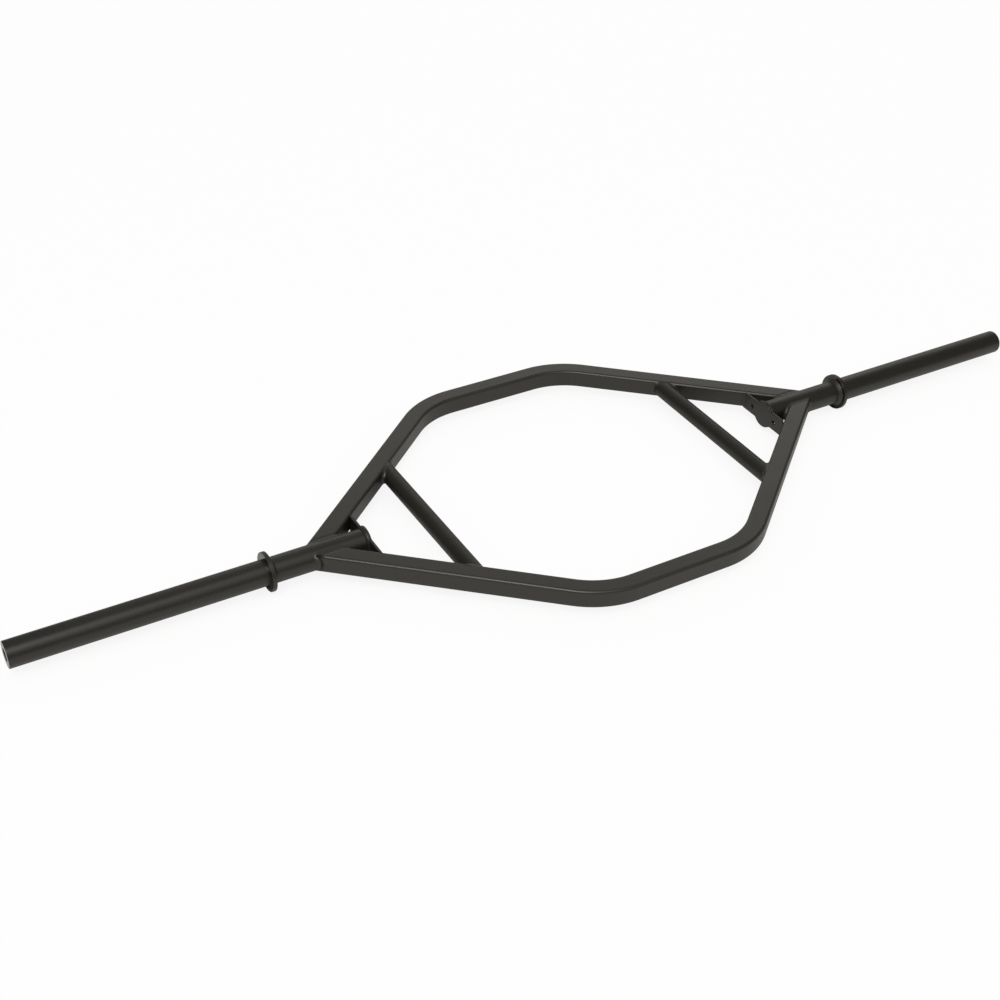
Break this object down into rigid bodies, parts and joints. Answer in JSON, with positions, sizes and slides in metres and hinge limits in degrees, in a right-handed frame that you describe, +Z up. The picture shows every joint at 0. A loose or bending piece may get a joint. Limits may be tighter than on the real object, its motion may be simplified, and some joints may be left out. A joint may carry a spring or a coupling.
{
  "type": "hex trap bar",
  "caption": "Hexagonal trap bar of bent square tube with round handles inside the frame and fixed round sleeves with stop collars for weight plates.",
  "frame": {"origin": "centre of the hexagon, on the common axis of the two sleeves", "axes": "+X along the sleeves to the right, +Y towards the rear side of the hexagon, +Z up, square to its plane"},
  "size_m": [2.285, 0.738, 0.076],
  "materials": {
    "black_powder_coat": "satin black powder coat with a fine grain"
  },
  "bodies": {
    "root": {"front_frame_tube": "black_powder_coat", "rear_frame_tube": "black_powder_coat", "left_sleeve": "black_powder_coat", "right_sleeve": "black_powder_coat", "left_collar": "black_powder_coat", "right_collar": "black_powder_coat", "left_end_plate": "black_powder_coat", "right_end_plate": "black_powder_coat", "left_handle": "black_powder_coat", "right_handle": "black_powder_coat", "left_handle_front_weld": "black_powder_coat", "left_handle_rear_weld": "black_powder_coat", "left_sleeve_front_weld": "black_powder_coat", "left_sleeve_rear_weld": "black_powder_coat", "left_plate_ring_weld": "black_powder_coat", "left_plate_front_weld": "black_powder_coat", "left_plate_rear_weld": "black_powder_coat", "left_collar_weld": "black_powder_coat", "right_handle_front_weld": "black_powder_coat", "right_handle_rear_weld": "black_powder_coat", "right_sleeve_front_weld": "black_powder_coat", "right_sleeve_rear_weld": "black_powder_coat", "right_plate_ring_weld": "black_powder_coat", "right_plate_front_weld": "black_powder_coat", "right_plate_rear_weld": "black_powder_coat", "right_collar_weld": "black_powder_coat"}
  },
  "joints": []
}
